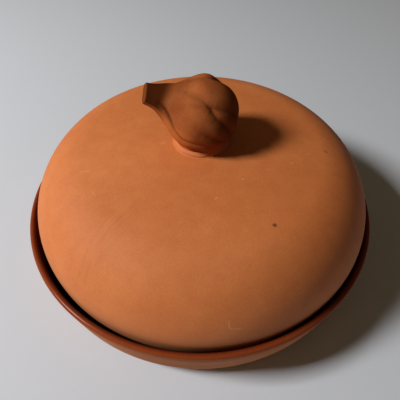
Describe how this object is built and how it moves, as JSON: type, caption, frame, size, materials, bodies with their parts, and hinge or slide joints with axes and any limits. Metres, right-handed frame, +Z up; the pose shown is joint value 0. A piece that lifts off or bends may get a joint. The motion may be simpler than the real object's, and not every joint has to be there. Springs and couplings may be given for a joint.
{
  "type": "domed terracotta garlic baker",
  "caption": "Round shallow glazed dish with a domed unglazed terracotta lid that stands inside its lip and lifts off by a knob shaped as a garlic bulb.",
  "frame": {"origin": "centre of the dish's foot, on the surface that it stands on", "axes": "+Z up, out of the knob; -X towards the stem of the garlic bulb knob; -Y towards the viewer of the reference view"},
  "size_m": [0.2, 0.2, 0.1104],
  "materials": {
    "brown_glaze": "gloss",
    "terracotta": "matt",
    "pad_clay": "matt",
    "dark_terracotta": "matt"
  },
  "bodies": {
    "dish": {"dish": "brown_glaze"},
    "lid": {"lid": "terracotta", "luting_pad": "pad_clay", "knob": "dark_terracotta"}
  },
  "joints": [
    {"name": "lid_lift", "type": "slide", "parent": "dish", "child": "lid", "axis": [0, 0, 1], "range_m": [0, 0.12]}
  ]
}
